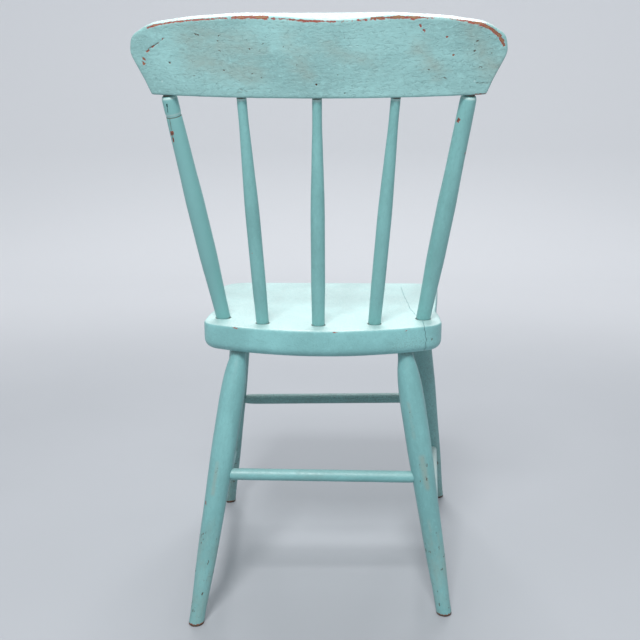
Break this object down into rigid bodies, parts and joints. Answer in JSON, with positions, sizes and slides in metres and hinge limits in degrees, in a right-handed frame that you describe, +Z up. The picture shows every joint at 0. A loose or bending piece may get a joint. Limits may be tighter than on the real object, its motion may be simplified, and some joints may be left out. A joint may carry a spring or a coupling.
{
  "type": "painted wooden kitchen chair",
  "caption": "Old wooden kitchen chair with a bent crest rail, turned spindles and legs, a plank seat and worn, peeling turquoise paint.",
  "frame": {"origin": "on the floor, under the middle of the box that the chair fills", "axes": "+Z up, the sitter faces -Y, +X is the sitter's left"},
  "size_m": [0.4573, 0.5117, 0.8317],
  "materials": {
    "crest_paint": "brushed turquoise paint over red paint over bare wood, chipped and worn through along the top arris",
    "post_paint": "brushed turquoise paint on turned wood, chipped in spots",
    "seat_paint": "pale worn turquoise paint on a plank, split along the grain, grimy round the posts",
    "leg_paint": "turquoise paint on turned wood, chipped, dirty at the foot with bare wood at the sole",
    "old_steel": "dark rusty nail head under thin paint"
  },
  "bodies": {
    "root": {"seat": "seat_paint", "crest_rail": "crest_paint", "stile_left": "post_paint", "stile_right": "post_paint", "spindle_left": "post_paint", "spindle_centre": "post_paint", "spindle_right": "post_paint", "leg_rear_left": "leg_paint", "leg_rear_right": "leg_paint", "leg_front_left": "leg_paint", "leg_front_right": "leg_paint", "stretcher_rear": "leg_paint", "stretcher_front": "leg_paint", "stretcher_left": "leg_paint", "stretcher_right": "leg_paint", "brad_stile_left": "old_steel", "brad_stile_right": "old_steel", "brad_spindle_centre": "old_steel", "brad_leg_rear_left": "old_steel", "brad_leg_rear_right": "old_steel"}
  },
  "joints": []
}
